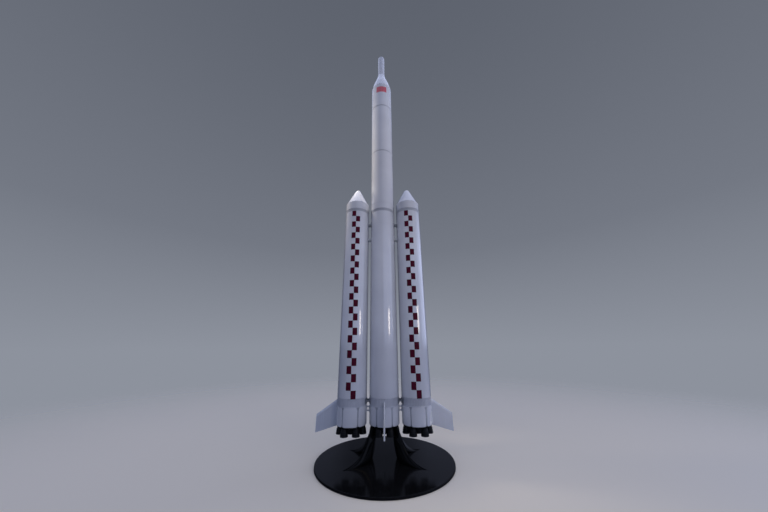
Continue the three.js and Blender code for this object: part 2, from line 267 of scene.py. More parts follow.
# Each finish: its material and the record's slot; a paint duller than most has an IOR below 1.5
FINISHES = {
    "white": (sprayed_enamel("gloss_white_enamel", "#dadde4", "#d0d3db", 0.17, 1.0), "white_paint"),
    "fin": (sprayed_enamel("gloss_pale_grey_enamel", "#ccd2dd", "#c2c8d4", 0.24, 0.5), "fin_paint"),
    # the core's fins take a whiter copy of the fin paint: a painted highlight for the light on the front
    # fin
    "core_fin": (sprayed_enamel("gloss_fin_enamel_painted_highlight", "#e6e8e8", "#dee0e1", 0.24, 0.5), "fin_paint"),
    "grey": (satin_enamel("satin_grey_enamel", "#c0c4cd", "#b2b6c0", 0.48), "grey_paint"),
    # the skirt liner is drawn grey, darker than the panels: painted shade in the grooves between them
    "liner": (satin_enamel("satin_grey_liner_painted_shade", "#a8adb7", "#9ba0aa", 0.55), "grey_paint"),
    "shade": (satin_enamel("satin_slate_enamel", "#a9adb6", "#9ca0aa", 0.52), "grey_paint"),
    "red": (satin_enamel("satin_dark_red_enamel", "#520222", "#48011e", 0.6, 1.25), "red_paint"),
    "flag_red": (sprayed_enamel("gloss_bright_red_enamel", "#dc5260", "#d24854", 0.22, 0.6), "red_paint"),
    "bell": (stoved_black("stoved_satin_black", "#0d0e10", "#060708", 0.46), "nozzle_black"),
    "plate": (satin_enamel("satin_black_enamel", "#0d0e10", "#070809", 0.55, 1.3), "nozzle_black"),
    "black": (polished_black_lacquer("piano_black_lacquer", "#101011", 1.5), "base_black"),
    # the legs take a darker copy of the base's black lacquer: painted shade for the dark they reflect
    "leg": (polished_black_lacquer("black_lacquer_painted_shade", "#060708", 1.18), "base_black"),
    "edging": (satin_enamel("dull_black_edging", "#0c0c0e", "#070708", 0.75, 1.3), "base_black"),
    # the tail and upper links' greys are partly their own grey and partly painted light, drawn lighter
    # against the shade in the gaps
    "steel": (satin_enamel("satin_gunmetal_with_painted_light", "#8a8e96", "#6c7078", 0.42), "link_steel"),
    "dull": (satin_enamel("satin_pewter_with_painted_light", "#a4a8b0", "#92969e", 0.5), "link_steel"),
    # the middle and lower links are drawn pale: partly their own paint, partly a painted highlight for
    # the glints on them
    "pale": (satin_enamel("satin_white_painted_highlight", "#e4e6ea", "#d6d9de", 0.35), "link_steel"),
    "zinc": (plated_steel("bright_zinc_plated_steel", "#d3d6db", "#b4b8be", 0.3), "link_steel"),
}


# Shape helpers
def turned(bm, outline, sides=SIDES, closed=False):
    """Turns an outline of (radius, height) points about the Z axis"""
    points = [bm.verts.new((radius, 0.0, height)) for radius, height in outline]
    ends = points[1:] + points[:1] if closed else points[1:]
    edges = [bm.edges.new(pair) for pair in zip(points, ends)]
    bmesh.ops.spin(bm, geom=points + edges, cent=(0, 0, 0), axis=(0, 0, 1), dvec=(0, 0, 0),
                   angle=2 * math.pi, steps=sides, use_merge=True, use_duplicate=False)
    bmesh.ops.remove_doubles(bm, verts=bm.verts, dist=1e-6)


def soften(bm, width, segments=2, above=35.0):
    """Rounds each edge whose two faces meet at more than the given angle"""
    sharp = [e for e in bm.edges if e.is_manifold and e.calc_face_angle(0.0) > math.radians(above)]
    bmesh.ops.bevel(bm, geom=sharp, offset=width, offset_type="OFFSET", affect="EDGES", segments=segments,
                    profile=0.5, material=-1, clamp_overlap=True)


def as_form(bm):
    """Keeps a shape as a mesh that can be stamped again and again"""
    form = bpy.data.meshes.new("form")
    bm.to_mesh(form)
    bm.free()
    return form


def stamp(bm, form, matrix):
    """Adds a copy of a form, set in its place by a matrix"""
    placed = form.copy()
    placed.transform(matrix)
    bm.from_mesh(placed)
    bpy.data.meshes.remove(placed)


def move(x=0.0, y=0.0, z=0.0):
    return Matrix.Translation((x, y, z))


def turn(azimuth):
    return Matrix.Rotation(math.radians(azimuth), 4, "Z")


def piece(name, bm, finish, *nodes, crease=38.0):
    """Makes a shape a piece of the model, in its finish, standing for the nodes named"""
    bmesh.ops.recalc_face_normals(bm, faces=bm.faces)
    mesh = bpy.data.meshes.new(name)
    bm.to_mesh(mesh)
    bm.free()
    mesh.shade_smooth()
    mesh.set_sharp_from_angle(angle=math.radians(crease))
    material, slot = FINISHES[finish]
    mesh.materials.append(material)
    made = bpy.data.objects.new(name, mesh)
    bpy.context.scene.collection.objects.link(made)
    even = made.modifiers.new("even_shading", "WEIGHTED_NORMAL")
    even.keep_sharp = True
    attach(made, "root")
    if nodes:
        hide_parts(*nodes)


TUCK_SLICES = (0.04, 0.13, 0.27, 0.45, 0.7, 1.0)


def wrapped_plate(outline, outer_radius, thickness, rounding=0.0, columns=24, corner=0.0, tuck=None):
    """A flat plate of (across, height) points, given its thickness and edge, then bent round the Z axis
    so that its middle faces the front. corner rounds the outline's first two points; tuck is
    (height, rise, depth) where the plate's lower end curls in."""
    bm = bmesh.new()
    points = [bm.verts.new((across, 0.0, height)) for across, height in outline]
    front = bm.faces.new(points)
    if corner:
        bmesh.ops.bevel(bm, geom=points[:2], offset=corner, offset_type="OFFSET", affect="VERTICES",
                        segments=6, profile=0.5, material=-1)
        front = max(bm.faces, key=lambda face: face.calc_area())
    back = bmesh.ops.extrude_face_region(bm, geom=[front], use_keep_orig=True)
    moved = [v for v in back["geom"] if isinstance(v, bmesh.types.BMVert)]
    bmesh.ops.translate(bm, vec=(0, thickness, 0), verts=moved)
    if rounding:
        rim = [e for e in bm.edges if all(abs(v.co.y) < 1e-7 for v in e.verts)]
        bmesh.ops.bevel(bm, geom=rim, offset=rounding, offset_type="OFFSET", affect="EDGES", segments=3,
                        profile=0.5, material=-1, clamp_overlap=True)
    left = min(across for across, _ in outline)
    right = max(across for across, _ in outline)
    for k in range(1, columns):
        across = left + (right - left) * k / columns
        slice_at(bm, (across, 0, 0), (1, 0, 0))
    if tuck:
        base, rise, depth = tuck
        for share in TUCK_SLICES:
            slice_at(bm, (0, 0, base + rise * share), (0, 0, 1))
    for vert in bm.verts:
        across, inward, height = vert.co
        radius = outer_radius - inward
        if tuck and height < base + rise:
            share = 1 - (height - base) / rise
            radius -= depth * (1 - math.sqrt(max(0.0, 1 - share * share)))
        angle = across / outer_radius
        vert.co = (radius * math.sin(angle), -radius * math.cos(angle), height)
    bmesh.ops.recalc_face_normals(bm, faces=bm.faces)
    return as_form(bm)


def slice_at(bm, place, normal):
    everything = bm.verts[:] + bm.edges[:] + bm.faces[:]
    bmesh.ops.bisect_plane(bm, geom=everything, dist=1e-6, plane_co=place, plane_no=normal)


# Round base: a thick polished disc with a dull strip bent round its edge
BASE_SIDES = 240
BASE_ROUNDING = 1 * MM
STRIP_THICKNESS = 5 * MM
STRIP_INSET = 1 * MM
STRIP_CHAMFER = 6 * MM
STRIP_ROUNDING = 1.5 * MM


def lay_base():
    low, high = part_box("base_disc")
    seat = high.x - STRIP_THICKNESS
    inside = seat - STRIP_INSET
    outside = high.x - SKIN_GAP
    bm = bmesh.new()
    turned(bm, [(0, low.z), (seat, low.z), (seat, high.z), (0, high.z)], sides=BASE_SIDES)
    soften(bm, BASE_ROUNDING)
    piece("round_base", bm, "black", "base_disc")
    strip = bmesh.new()
    turned(strip, [(inside, low.z + STRIP_INSET), (seat, low.z + STRIP_INSET),
                   (outside, low.z + STRIP_CHAMFER), (outside, high.z - STRIP_INSET),
                   (inside, high.z - STRIP_INSET)], sides=BASE_SIDES, closed=True)
    soften(strip, STRIP_ROUNDING, segments=3)
    piece("base_edge_strip", strip, "edging")


lay_base()

# Pedestal legs: horns that sweep from a point on the base up to the core's engine plate
LEG_AZIMUTHS = {"front_right": 57, "back_right": 123, "back_left": 237, "front_left": 303}
LEG_SECTIONS_MM = [  # height, inner reach, outer reach, half width
    (32, 274, 736, 35),
    (48, 258, 640, 39),
    (82, 234, 540, 42),
    (138, 210, 452, 41),
    (210, 190, 388, 38),
    (295, 174, 334, 33),
    (366, 170, 300, 23),
    (440, 168, 276, 21),
    (503, 168, 258, 21),
]
LEG_SIDES = 40
LEG_STEPS = 6


def between_rows(rows, k, share):
    """A smooth curve through a table's rows, at a share of the way from row k to the next"""
    before = rows[max(k - 1, 0)]
    start = rows[k]
    end = rows[k + 1]
    after = rows[min(k + 2, len(rows) - 1)]
    made = []
    for a, b, c, d in zip(before, start, end, after):
        slope_in = (c - a) / 2
        slope_out = (d - b) / 2
        s2 = share * share
        s3 = s2 * share
        made.append((2 * s3 - 3 * s2 + 1) * b + (s3 - 2 * s2 + share) * slope_in
                    + (3 * s2 - 2 * s3) * c + (s3 - s2) * slope_out)
    return made


def horn_form():
    bm = bmesh.new()
    sections = [between_rows(LEG_SECTIONS_MM, k, step / LEG_STEPS)
                for k in range(len(LEG_SECTIONS_MM) - 1) for step in range(LEG_STEPS)]
    sections.append(LEG_SECTIONS_MM[-1])
    loops = []
    for height, inner, outer, half in sections:
        ring = bmesh.ops.create_circle(bm, cap_ends=False, segments=LEG_SIDES, radius=1.0)["verts"]
        size = Matrix.Diagonal((half * MM, (outer - inner) / 2 * MM, 1.0, 1.0))
        place = move(y=-(inner + outer) / 2 * MM, z=height * MM)
        bmesh.ops.transform(bm, matrix=place @ size, verts=ring)
        loops.append(ring)
    for lower, upper in zip(loops, loops[1:]):
        edges = {e for v in lower for e in v.link_edges if e.other_vert(v) in lower}
        edges |= {e for v in upper for e in v.link_edges if e.other_vert(v) in upper}
        bmesh.ops.bridge_loops(bm, edges=list(edges))
    bmesh.ops.holes_fill(bm, edges=bm.edges, sides=LEG_SIDES)
    return as_form(bm)


def raise_legs():
    horn = horn_form()
    for place, azimuth in LEG_AZIMUTHS.items():
        bm = bmesh.new()
        stamp(bm, horn, turn(azimuth))
        # the legs' darker black is painted shade
        piece(f"horn_leg_{place}", bm, "leg", f"pedestal_leg_{place}", crease=60)


raise_legs()

# Engines: a dark plate with seven bells, one in the middle and six round it
ENGINE_PITCH = 187 * MM
ENGINE_PLATE_RADIUS = 236 * MM
ENGINE_PLATE_BOTTOM = 503 * MM
BELL_EXIT = 380 * MM
BELL_THROAT = 478 * MM
BELL_EXIT_RADIUS = 62 * MM
BELL_THROAT_RADIUS = 44 * MM
BELL_FLARE = 0.6
CHAMBER_RADIUS = 38 * MM
CHAMBER_BOTTOM = BELL_THROAT + 10 * MM
THROAT_RIM = BELL_THROAT + 4 * MM
BELL_WALL = 3 * MM
BELL_HOOPS = (0.3, 0.55, 0.8)
BELL_STEPS = 14
BELL_SIDES = 56
HOOP_INSET = 1 * MM
HOOP_DEPTH = 5 * MM
HOOP_WIDTH = 6 * MM
LIP_WIDTH = 4 * MM
COLLAR_GAP = 1 * MM
COLLAR_DROP = 3 * MM
COLLAR_DEPTH = 9 * MM
COLLAR_WIDTH = 7 * MM
PLATE_ROUNDING = 2 * MM


def bell_form():
    """One bell: a thin wall that flares on a curve, with hoops, a rolled lip and its chamber above"""
    def radius_at(share):
        return BELL_THROAT_RADIUS + (BELL_EXIT_RADIUS - BELL_THROAT_RADIUS) * share ** BELL_FLARE

    def height_at(share):
        return BELL_THROAT + (BELL_EXIT - BELL_THROAT) * share

    shares = [k / BELL_STEPS for k in range(BELL_STEPS + 1)]
    outside = [(radius_at(s), height_at(s)) for s in shares]
    inside = [(radius_at(s) - BELL_WALL, height_at(s)) for s in reversed(shares)]
    bm = bmesh.new()
    turned(bm, [(0, ENGINE_PLATE_BOTTOM), (CHAMBER_RADIUS, ENGINE_PLATE_BOTTOM),
                (CHAMBER_RADIUS, CHAMBER_BOTTOM), (BELL_THROAT_RADIUS, THROAT_RIM)]
           + outside + inside + [(0, BELL_THROAT)], sides=BELL_SIDES)
    for share in BELL_HOOPS:
        hoop(bm, radius_at(share) - HOOP_INSET, height_at(share), HOOP_DEPTH, HOOP_WIDTH)
    hoop(bm, BELL_EXIT_RADIUS - BELL_WALL, BELL_EXIT + LIP_WIDTH / 2, HOOP_DEPTH, LIP_WIDTH)
    return as_form(bm)


def hoop(bm, inner, height, depth, width):
    """A hoop of oblong section round the Z axis, whose middle is at the given height"""
    low = height - width / 2
    high = height + width / 2
    outer = inner + depth
    turned(bm, [(inner, low), (outer, low), (outer, high), (inner, high)], sides=BELL_SIDES, closed=True)


def engine_places():
    yield 0.0, 0.0
    for azimuth in GROOVE_AZIMUTHS:
        angle = math.radians(azimuth)
        yield ENGINE_PITCH * math.sin(angle), -ENGINE_PITCH * math.cos(angle)


def fit_engines():
    bell = bell_form()
    for prefix, x in BODY_X.items():
        bells = bmesh.new()
        for dx, dy in engine_places():
            stamp(bells, bell, move(x + dx, dy))
        piece(f"{prefix}_engine_bells", bells, "bell", f"{prefix}_engines")
        plate = bmesh.new()
        turned(plate, [(0, ENGINE_PLATE_BOTTOM), (ENGINE_PLATE_RADIUS, ENGINE_PLATE_BOTTOM),
                       (ENGINE_PLATE_RADIUS, SKIRT_BOTTOM), (0, SKIRT_BOTTOM)])
        soften(plate, PLATE_ROUNDING)
        for dx, dy in engine_places():
            collar = bmesh.new()
            hoop(collar, CHAMBER_RADIUS + COLLAR_GAP, ENGINE_PLATE_BOTTOM - COLLAR_DROP,
                 COLLAR_DEPTH, COLLAR_WIDTH)
            stamp(plate, as_form(collar), move(dx, dy))
        bmesh.ops.translate(plate, vec=(x, 0, 0), verts=plate.verts)
        piece(f"{prefix}_engine_plate", plate, "plate")


fit_engines()

# Tail skirts: six curved panels over a liner drawn grey as painted shade in the grooves, their upper
# corners cut and lower edges rolled in
GROOVE_HALF = 11 * MM
GROOVE_MOUTH_HALF = 28 * MM
GROOVE_MOUTH_RISE = 43 * MM
PANEL_THICKNESS = 10.8 * MM
PANEL_BOTTOM = SKIRT_BOTTOM + SKIN_GAP
PANEL_TOP = SKIRT_TOP - 0.5 * MM
PANEL_CORNER = 26 * MM
PANEL_EDGE = 2 * MM
PANEL_TUCK = (PANEL_BOTTOM, 14 * MM, 6 * MM)
PANEL_COLUMNS = 26
LINER_RADIUS = BODY_RADIUS - 7 * MM
LINER_TAPER_IN = 20 * MM
LINER_TAPER_UP = 40 * MM


def panel_form():
    pitch = math.radians(360 / len(PANEL_AZIMUTHS)) * BODY_RADIUS
    side = pitch / 2 - GROOVE_HALF
    mouth = pitch / 2 - GROOVE_MOUTH_HALF
    cut = PANEL_TOP - GROOVE_MOUTH_RISE
    outline = [(-side, PANEL_BOTTOM), (side, PANEL_BOTTOM), (side, cut), (mouth, PANEL_TOP),
               (-mouth, PANEL_TOP), (-side, cut)]
    return wrapped_plate(outline, BODY_RADIUS, PANEL_THICKNESS, PANEL_EDGE, PANEL_COLUMNS,
                         PANEL_CORNER, PANEL_TUCK)


def clad_skirts():
    panel = panel_form()
    for prefix, x in BODY_X.items():
        bm = bmesh.new()
        for azimuth in PANEL_AZIMUTHS:
            stamp(bm, panel, move(x) @ turn(azimuth))
        piece(f"{prefix}_skirt_panels", bm, "white", f"{prefix}_tail_skirt")
        liner = bmesh.new()
        turned(liner, [(0, SKIRT_BOTTOM), (LINER_RADIUS - LINER_TAPER_IN, SKIRT_BOTTOM),
                       (LINER_RADIUS, SKIRT_BOTTOM + LINER_TAPER_UP), (LINER_RADIUS, SKIRT_TOP),
                       (0, SKIRT_TOP)])
        bmesh.ops.translate(liner, vec=(x, 0, 0), verts=liner.verts)
        # the liner's grey is painted shade for the grooves
        piece(f"{prefix}_skirt_liner", liner, "liner")


clad_skirts()

# Tail rings: a grey band with fine upright ribs between two flanges
RIB_COUNT = 60
RIB_WIDTH = 9 * MM
RIB_DEPTH = 5 * MM
RIB_SET_BACK = 0.5 * MM
RIB_ROUNDING = 1 * MM
FLANGE_HEIGHT = 9 * MM
FLANGE_SLOPE = 2 * MM


def rib_tail_rings():
    for prefix, x in BODY_X.items():
        bottom, top = heights(f"{prefix}_tail_ring")
        radius = radius_of(f"{prefix}_tail_ring")
        waist = radius - RIB_DEPTH
        low = bottom + FLANGE_HEIGHT
        high = top - FLANGE_HEIGHT
        half = RIB_WIDTH / 2
        bm = bmesh.new()
        turned(bm, [(0, bottom), (radius, bottom), (radius, low), (waist, low + FLANGE_SLOPE),
                    (waist, high - FLANGE_SLOPE), (radius, high), (radius, top), (0, top)])
        soften(bm, RIB_ROUNDING)
        rib = wrapped_plate([(-half, low), (half, low), (half, high), (-half, high)],
                            radius - RIB_SET_BACK, RIB_DEPTH, RIB_ROUNDING, columns=1)
        for k in range(RIB_COUNT):
            stamp(bm, rib, turn(360 * (k + 0.5) / RIB_COUNT))
        bmesh.ops.translate(bm, vec=(x, 0, 0), verts=bm.verts)
        piece(f"{prefix}_ribbed_ring", bm, "grey", f"{prefix}_tail_ring")


rib_tail_rings()

# Body sections: plain drums with fine joints between them, and scribed lines where the core has them
JOINT = 1.5 * MM
LINE_HALF = 3 * MM
LINE_DEPTH = 2.5 * MM
LINES = {"core_second_stage": (4600 * MM, 4622 * MM)}
CORE_SECTIONS = [  # node and finish
    ("core_first_stage", "white"),
    ("core_separation_ring", "shade"),
    ("core_second_stage", "white"),
    ("core_middle_ring", "shade"),
    ("core_third_stage", "white"),
    ("core_upper_ring", "shade"),
    ("core_spacecraft_shroud", "white"),
]
BOOSTER_SECTIONS = [
    (f"booster_{side}_{section}", finish)
    for side in X_SIGNS
    for section, finish in (("tank", "white"), ("seam_ring", "shade"), ("shoulder", "white"))
]


def drum_outline(radius, bottom, top, lines=()):
    """The outline of a plain drum, with a scribed line at each of the given heights"""
    outline = [(0, bottom), (radius, bottom)]
    for line in lines:
        outline += [(radius, line - LINE_HALF), (radius - LINE_DEPTH, line), (radius, line + LINE_HALF)]
    return outline + [(radius, top), (0, top)]


def stack_sections():
    for node, finish in CORE_SECTIONS + BOOSTER_SECTIONS:
        bottom, top = heights(node)
        bm = bmesh.new()
        turned(bm, drum_outline(radius_of(node), bottom, top, LINES.get(node, ())))
        soften(bm, JOINT, above=60)
        bmesh.ops.translate(bm, vec=(centre_x(node), 0, 0), verts=bm.verts)
        piece(f"{node}_skin", bm, finish, node)


stack_sections()

# Booster nose cones: straight sides that run into a ball-shaped tip
NOSE_TIP_RADIUS = 70 * MM
NOSE_TIP_STEPS = 12
NOSE_ROUNDING = 2 * MM


def cap_boosters():
    for side in X_SIGNS:
        node = f"booster_{side}_nose_cone"
        bottom, top = heights(node)
        radius = radius_of(node)
        ball = top - bottom - NOSE_TIP_RADIUS
        start = math.acos(NOSE_TIP_RADIUS / math.hypot(ball, radius)) - math.atan2(ball, radius)
        outline = [(0, bottom), (radius, bottom)]
        for k in range(NOSE_TIP_STEPS):
            angle = start + (math.pi / 2 - start) * k / NOSE_TIP_STEPS
            across = NOSE_TIP_RADIUS * math.cos(angle)
            outline.append((across, bottom + ball + NOSE_TIP_RADIUS * math.sin(angle)))
        outline.append((0, top))
        bm = bmesh.new()
        turned(bm, outline)
        soften(bm, NOSE_ROUNDING, above=60)
        bmesh.ops.translate(bm, vec=(centre_x(node), 0, 0), verts=bm.verts)
        piece(f"booster_{side}_nose_skin", bm, "white", node, crease=25)


cap_boosters()

# Escape cover, tower and cap: the long cone over the spacecraft and the slim mast on it
COVER_SHOULDER = (200 * MM, 8410 * MM)
COVER_NECK = (120 * MM, 8650 * MM)
COVER_TOP_RADIUS = 88 * MM
COVER_CURVE = 50 * MM
COVER_ROUNDING = 2 * MM
TOWER_SIDES = 96
TOWER_LINES = (0.3, 0.62)
TIP_RADIUS = 26 * MM
TIP_FLAT = 0.7 * TIP_RADIUS
TIP_SLOPE = 6 * MM
TIP_ROUNDING = 3 * MM


def cover_spacecraft():
    bottom, top = heights("escape_cover")
    bm = bmesh.new()
    turned(bm, [(0, bottom), (BODY_RADIUS, bottom), COVER_SHOULDER, COVER_NECK,
                (COVER_TOP_RADIUS, top), (0, top)])
    breaks = (COVER_SHOULDER[1], COVER_NECK[1])
    waists = [e for e in bm.edges if any(all(abs(v.co.z - z) < 1e-5 for v in e.verts) for z in breaks)]
    bmesh.ops.bevel(bm, geom=waists, offset=COVER_CURVE, offset_type="OFFSET", affect="EDGES", segments=6,
                    profile=0.5, material=-1)
    soften(bm, COVER_ROUNDING, above=60)
    piece("escape_cover_skin", bm, "white", "escape_cover", crease=25)


def raise_tower():
    bottom, top = heights("escape_tower")
    lines = [bottom + (top - bottom) * share for share in TOWER_LINES]
    bm = bmesh.new()
    turned(bm, drum_outline(radius_of("escape_tower"), bottom, top, lines), sides=TOWER_SIDES)
    soften(bm, JOINT, above=60)
    piece("escape_tower_tube", bm, "white", "escape_tower")


def tip_tower():
    bottom, top = heights("escape_tower_cap")
    radius = radius_of("escape_tower")
    bm = bmesh.new()
    turned(bm, [(0, bottom), (radius, bottom), (TIP_RADIUS, top - TIP_SLOPE), (TIP_FLAT, top), (0, top)],
           sides=TOWER_SIDES)
    soften(bm, TIP_ROUNDING, segments=3, above=20)
    piece("escape_tower_tip", bm, "white", "escape_tower_cap", crease=30)


cover_spacecraft()
raise_tower()
tip_tower()

# Fins: flat plates with a thin bevelled leading edge, softly rounded all round
FIN_THICKNESS = 24 * MM
FIN_EDGE_THICKNESS = 5 * MM
FIN_BEVEL = 34 * MM
FIN_SPAN = 339 * MM
CORE_FIN_SPAN = 270 * MM
FIN_ROOT = (495 * MM, 883 * MM)
FIN_TIP = (401 * MM, 661 * MM)
FIN_ROUNDING = 2 * MM
FIN_TENON = 1 * MM
FINS = [  # node, body it sits on, azimuth, span, finish
    # the core's fins are drawn whiter than the boosters' fins as a painted highlight
    ("core_fin_front", "core", 0, CORE_FIN_SPAN, "core_fin"),
    ("core_fin_back", "core", 180, CORE_FIN_SPAN, "core_fin"),
    ("booster_left_fin", "booster_left", 270, FIN_SPAN, "fin"),
    ("booster_right_fin", "booster_right", 90, FIN_SPAN, "fin"),
]


def mount_fins():
    for node, body, azimuth, span, finish in FINS:
        share = span / FIN_SPAN
        tip_bottom = FIN_ROOT[0] + (FIN_TIP[0] - FIN_ROOT[0]) * share
        tip_top = FIN_ROOT[1] + (FIN_TIP[1] - FIN_ROOT[1]) * share
        root = -BODY_RADIUS + FIN_TENON
        tip = -BODY_RADIUS - SKIN_GAP - span
        bm = bmesh.new()
        for side in (-0.5, 0.5):
            face = side * FIN_THICKNESS
            edge = side * FIN_EDGE_THICKNESS
            corners = [(face, root, FIN_ROOT[0]), (face, tip, tip_bottom),
                       (face, tip, tip_top - FIN_BEVEL), (face, root, FIN_ROOT[1] - FIN_BEVEL),
                       (edge, tip, tip_top), (edge, root, FIN_ROOT[1])]
            for corner in corners:
                bm.verts.new(corner)
        bmesh.ops.convex_hull(bm, input=bm.verts)
        bmesh.ops.dissolve_limit(bm, angle_limit=math.radians(1), verts=bm.verts, edges=bm.edges)
        soften(bm, FIN_ROUNDING, segments=3, above=15)
        bmesh.ops.transform(bm, matrix=move(BODY_X[body]) @ turn(azimuth), verts=bm.verts)
        piece(f"{node}_plate", bm, finish, node, crease=20)


mount_fins()

# Links: two rods between saddle pads, with a nut at each end and four bolts to each pad
LINKS_MM = {  # rod radius, pad size, how far apart the rods are side by side or upright, and finish
    # the upper and tail links are drawn a lighter grey than their own: partly painted light
    "upper": {"rod": 11, "pad": (116, 46), "across": 76, "upright": 0, "finish": "dull"},
    # the pale finish of the middle and lower links is partly a painted highlight
    "middle": {"rod": 9, "pad": (116, 40), "across": 76, "upright": 0, "finish": "pale"},
    "tail": {"rod": 14, "pad": (220, 76), "across": 128, "upright": 0, "finish": "steel"},
    "lower": {"rod": 10, "pad": (60, 88), "across": 0, "upright": 56, "finish": "pale"},
}
PAD_THICKNESS = 8.5 * MM
PAD_FACE = BODY_RADIUS + SKIN_GAP + PAD_THICKNESS
PAD_ROUNDING = 2 * MM
PAD_COLUMNS = 20
ROD_SIDES = 24
ROD_TENON = 1 * MM
ROD_ROUNDING = 0.12  # share of its radius
NUT_SIDES = 6
NUT_SIZE = 1.5  # times the rod's radius
NUT_LENGTH = 7 * MM
NUT_PROUD = 2 * MM
BOLT_RADIUS = 4.5 * MM
BOLT_LENGTH = 5 * MM
BOLT_PROUD = 1 * MM
BOLT_INSET = 9 * MM


def rod_form(radius, length, sides):
    """A rod along X, centred on the origin, with its ends softened"""
    bm = bmesh.new()
    bmesh.ops.create_cone(bm, cap_ends=True, segments=sides, radius1=radius, radius2=radius, depth=length)
    soften(bm, radius * ROD_ROUNDING, above=60)
    bmesh.ops.rotate(bm, matrix=Matrix.Rotation(math.radians(90), 3, "Y"), verts=bm.verts)
    return as_form(bm)


def tie_booster(side, level):
    """One level of links between the core and a booster"""
    link = LINKS_MM[level]
    node = f"link_{side}_{level}"
    low, high = heights(node)
    middle = (low + high) / 2
    gap_middle = BODY_X[f"booster_{side}"] / 2
    half_width, half_height = (size / 2 * MM for size in link["pad"])
    half_across = link["across"] / 2 * MM
    half_upright = link["upright"] / 2 * MM
    radius = link["rod"] * MM
    reach = math.sqrt(PAD_FACE ** 2 - half_across ** 2)
    pad = wrapped_plate([(-half_width, -half_height), (half_width, -half_height),
                         (half_width, half_height), (-half_width, half_height)],
                        PAD_FACE, PAD_THICKNESS, PAD_ROUNDING, PAD_COLUMNS)
    rod = rod_form(radius, 2 * (abs(gap_middle) - reach + ROD_TENON), ROD_SIDES)
    nut = rod_form(radius * NUT_SIZE, NUT_LENGTH, NUT_SIDES)
    bolt = rod_form(BOLT_RADIUS, BOLT_LENGTH, NUT_SIDES)
    bars = bmesh.new()
    bolts = bmesh.new()
    ends = [(-half_across, middle - half_upright), (half_across, middle + half_upright)]
    for body, facing in (("core", X_SIGNS[side]), (f"booster_{side}", -X_SIGNS[side])):
        stamp(bars, pad, move(BODY_X[body], 0, middle) @ turn(90 * facing))
        for y, z in ends:
            stamp(bars, nut, move(BODY_X[body] + facing * (reach + NUT_PROUD), y, z))
        for across in (BOLT_INSET - half_width, half_width - BOLT_INSET):
            aside = turn(90 * (facing - 1) + math.degrees(across / PAD_FACE))
            for rise in (BOLT_INSET - half_height, half_height - BOLT_INSET):
                axis = move(BODY_X[body], 0, middle + rise)
                stamp(bolts, bolt, axis @ aside @ move(PAD_FACE + BOLT_PROUD))
    for y, z in ends:
        stamp(bars, rod, move(gap_middle, y, z))
    # each link is drawn in its finish, whose lightness is partly painted light
    piece(f"{node}_rods", bars, link["finish"], node)
    piece(f"{node}_bolts", bolts, "zinc")


def tie_boosters():
    for side in X_SIGNS:
        for level in LINKS_MM:
            tie_booster(side, level)


tie_boosters()

# Strips of dark red squares down the front and back of each booster, two columns wide
CHECK_ROWS = 28
CHECK_TOP = 4400 * MM
CHECK_BOTTOM = 914 * MM
CHECK_WIDTH = 84 * MM
CHECK_TURNS = {"left": 0.0, "right": -3.6}
PAINT_PROUD = 0.4 * MM
PAINT_THICKNESS = 0.8 * MM


def paint_checks():
    pitch = (CHECK_TOP - CHECK_BOTTOM) / CHECK_ROWS
    half = CHECK_WIDTH / 2
    square = wrapped_plate([(-half, 0), (half, 0), (half, pitch), (-half, pitch)],
                           BODY_RADIUS + PAINT_PROUD, PAINT_THICKNESS, columns=7)
    aside = math.degrees(half / BODY_RADIUS)
    for side, turned_by in CHECK_TURNS.items():
        for facing, azimuth in (("front", turned_by), ("back", 180 + turned_by)):
            bm = bmesh.new()
            for row in range(CHECK_ROWS):
                column = -1 if row % 2 == 0 else 1
                place = move(BODY_X[f"booster_{side}"], 0, CHECK_TOP - pitch * (row + 1))
                stamp(bm, square, place @ turn(azimuth + column * aside))
            piece(f"booster_{side}_{facing}_squares", bm, "red")


paint_checks()

# A plain red oblong high on the core's front
FLAG_WIDTH = 270 * MM
FLAG_BOTTOM = 7885 * MM
FLAG_TOP = 8075 * MM


def paint_flag():
    half = FLAG_WIDTH / 2
    corners = [(-half, FLAG_BOTTOM), (half, FLAG_BOTTOM), (half, FLAG_TOP), (-half, FLAG_TOP)]
    patch = wrapped_plate(corners, BODY_RADIUS + PAINT_PROUD, PAINT_THICKNESS)
    bm = bmesh.new()
    stamp(bm, patch, Matrix.Identity(4))
    piece("core_red_oblong", bm, "flag_red")


paint_flag()

# Pale floor that fades into the backdrop; what it throws back on the model is held down
FLOOR_RADIUS = 15.0
FLOOR_SIDES = 96
FLOOR_FADE = (4.0, 14.0)
FLOOR_COLOUR = "#fff4de"
FLOOR_BOUNCE = "#484c54"


